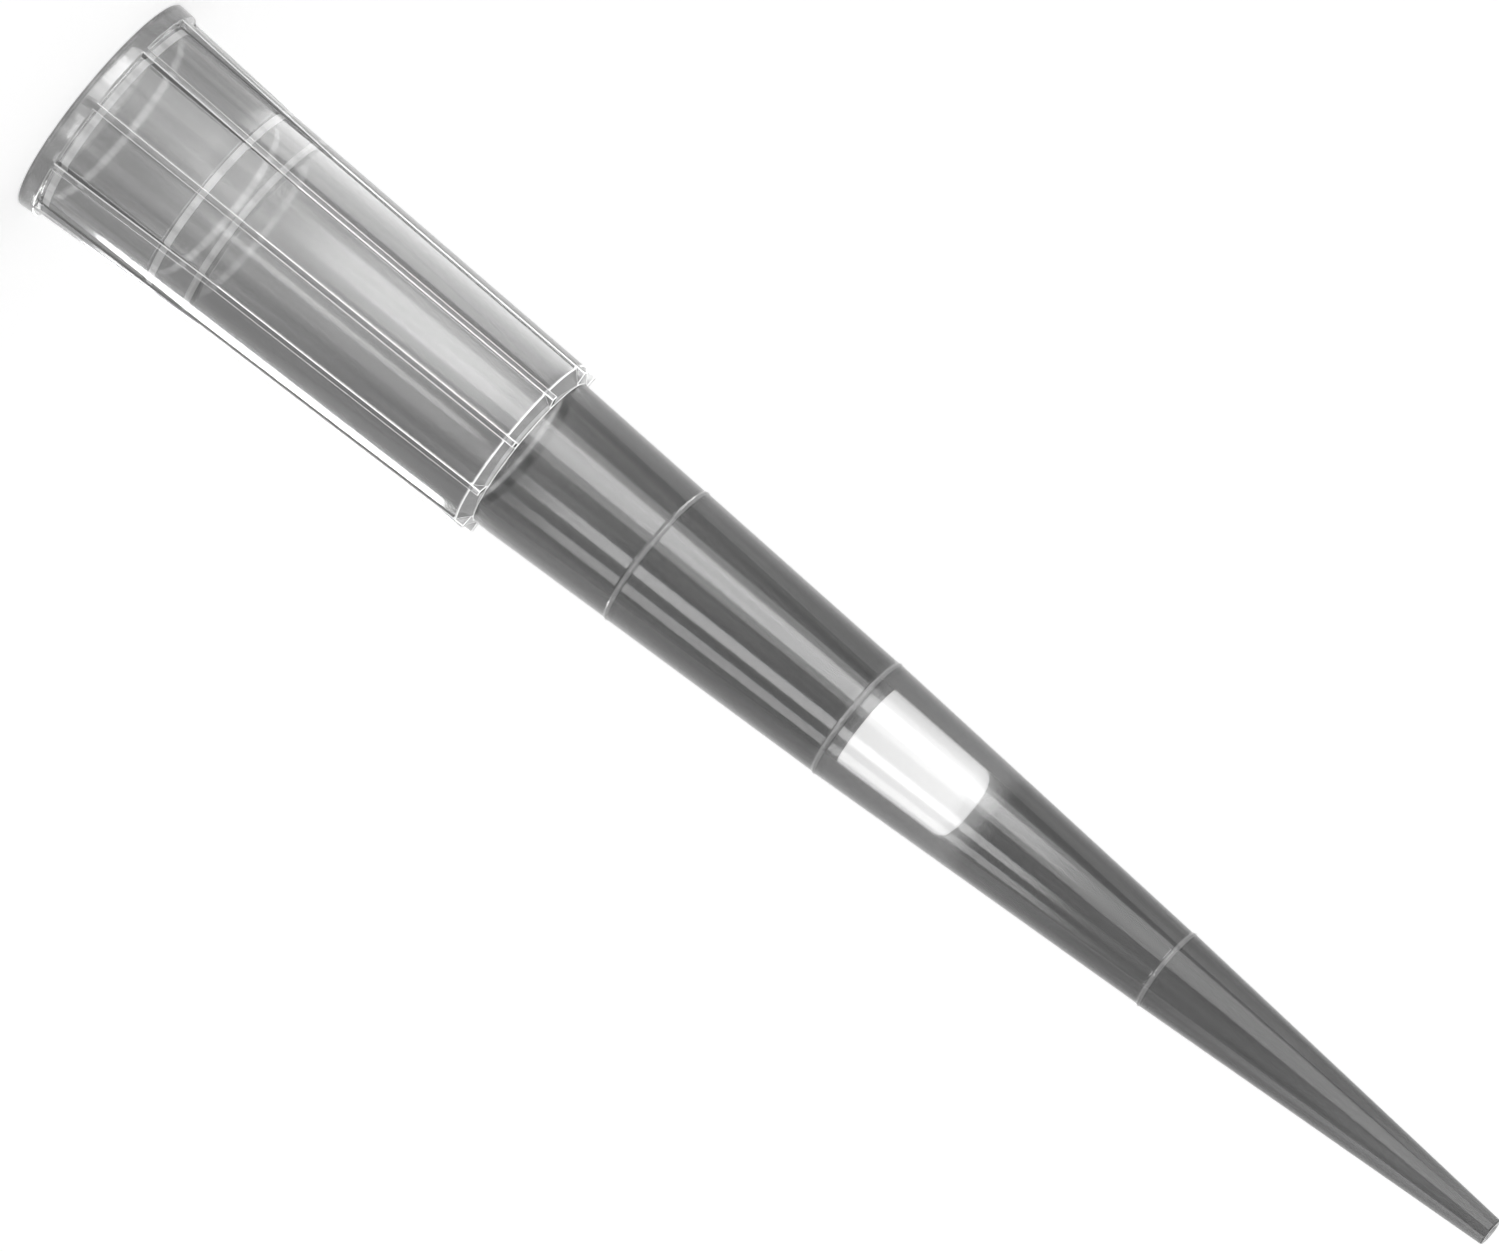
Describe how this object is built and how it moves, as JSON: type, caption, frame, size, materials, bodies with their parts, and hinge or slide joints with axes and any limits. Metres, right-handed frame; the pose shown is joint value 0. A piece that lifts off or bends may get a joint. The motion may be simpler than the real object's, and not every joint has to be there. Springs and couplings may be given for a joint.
{
  "type": "filter pipette tip",
  "caption": "Clear tapered pipette tip with a finned collar, a stepped shoulder, fine graduation rings and a white filter plug held inside its bore.",
  "frame": {"origin": "centre of the mouth plane, which the tip stands on", "axes": "+Z along the tip's axis from the mouth to the fine end; +X and +Y across it"},
  "size_m": [0.007, 0.007, 0.05],
  "materials": {
    "clear_polypropylene": "natural translucent polypropylene, smooth moulded gloss",
    "porous_polyethylene": "white sintered porous polyethylene, matte"
  },
  "bodies": {
    "root": {"tip_body": "clear_polypropylene", "filter_plug": "porous_polyethylene"}
  },
  "joints": []
}
